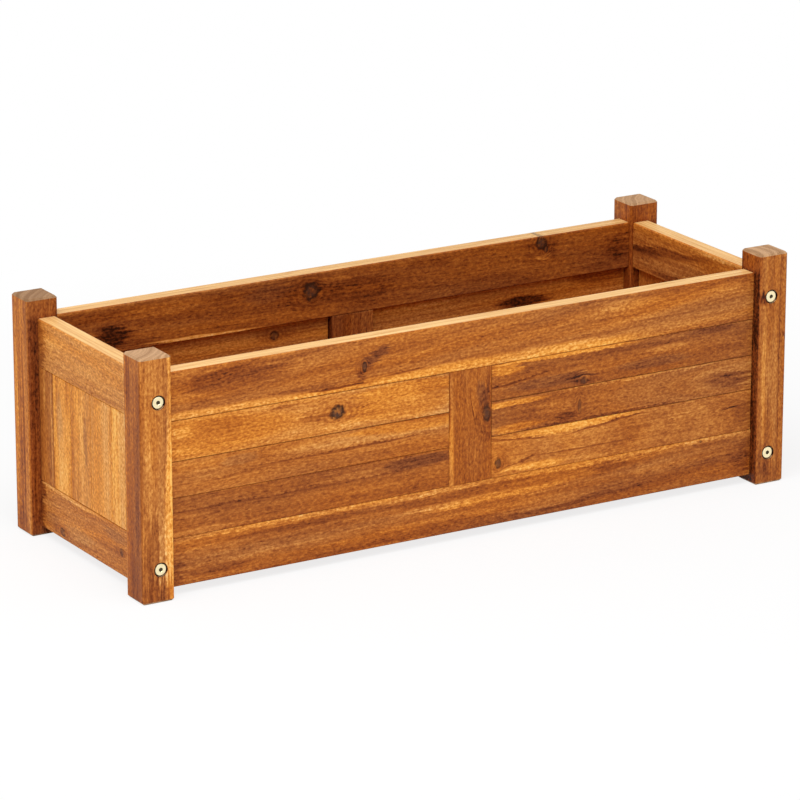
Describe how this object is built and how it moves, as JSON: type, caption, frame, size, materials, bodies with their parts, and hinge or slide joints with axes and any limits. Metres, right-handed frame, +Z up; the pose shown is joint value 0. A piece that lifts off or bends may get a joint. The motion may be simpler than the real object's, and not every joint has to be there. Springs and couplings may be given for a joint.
{
  "type": "wooden planter",
  "caption": "Long low floor planter of oiled hardwood: square corner posts, framed walls of tongued boards and a slatted, draining floor.",
  "frame": {"origin": "on the ground under the middle of the planter, in the plane of the post feet", "axes": "+X along the length, +Y from the front wall to the back wall, +Z up"},
  "size_m": [0.76, 0.276, 0.25],
  "materials": {
    "post_wood": "oiled, satin",
    "rail_wood": "oiled, satin",
    "stile_wood": "oiled, satin",
    "wall_board_wood": "oiled, satin",
    "end_board_wood": "oiled, satin",
    "floor_wood": "oiled, satin",
    "bolt_metal": "pale yellow zinc plating",
    "insert_metal": "zinc plating"
  },
  "bodies": {
    "root": {"back_bottom_rail": "rail_wood", "back_centre_stile": "stile_wood", "back_left_low_board": "wall_board_wood", "back_left_middle_board": "wall_board_wood", "back_left_top_board": "wall_board_wood", "back_right_low_board": "wall_board_wood", "back_right_middle_board": "wall_board_wood", "back_right_top_board": "wall_board_wood", "back_top_rail": "rail_wood", "floor_bearer_back": "floor_wood", "floor_bearer_front": "floor_wood", "floor_slat_1": "floor_wood", "floor_slat_2": "floor_wood", "floor_slat_3": "floor_wood", "floor_slat_4": "floor_wood", "floor_slat_5": "floor_wood", "floor_slat_6": "floor_wood", "floor_slat_7": "floor_wood", "floor_slat_8": "floor_wood", "floor_slat_9": "floor_wood", "front_bottom_rail": "rail_wood", "front_centre_stile": "stile_wood", "front_left_low_board": "wall_board_wood", "front_left_middle_board": "wall_board_wood", "front_left_top_board": "wall_board_wood", "front_right_low_board": "wall_board_wood", "front_right_middle_board": "wall_board_wood", "front_right_top_board": "wall_board_wood", "front_top_rail": "rail_wood", "left_end_board_1": "end_board_wood", "left_end_board_2": "end_board_wood", "left_end_board_3": "end_board_wood", "left_end_board_4": "end_board_wood", "left_end_board_5": "end_board_wood", "left_end_bottom_rail": "rail_wood", "left_end_top_rail": "rail_wood", "post_back_left": "post_wood", "post_back_right": "post_wood", "post_bolts": "bolt_metal", "post_front_left": "post_wood", "post_front_right": "post_wood", "rail_threaded_inserts": "insert_metal", "right_end_board_1": "end_board_wood", "right_end_board_2": "end_board_wood", "right_end_board_3": "end_board_wood", "right_end_board_4": "end_board_wood", "right_end_board_5": "end_board_wood", "right_end_bottom_rail": "rail_wood", "right_end_top_rail": "rail_wood"}
  },
  "joints": []
}
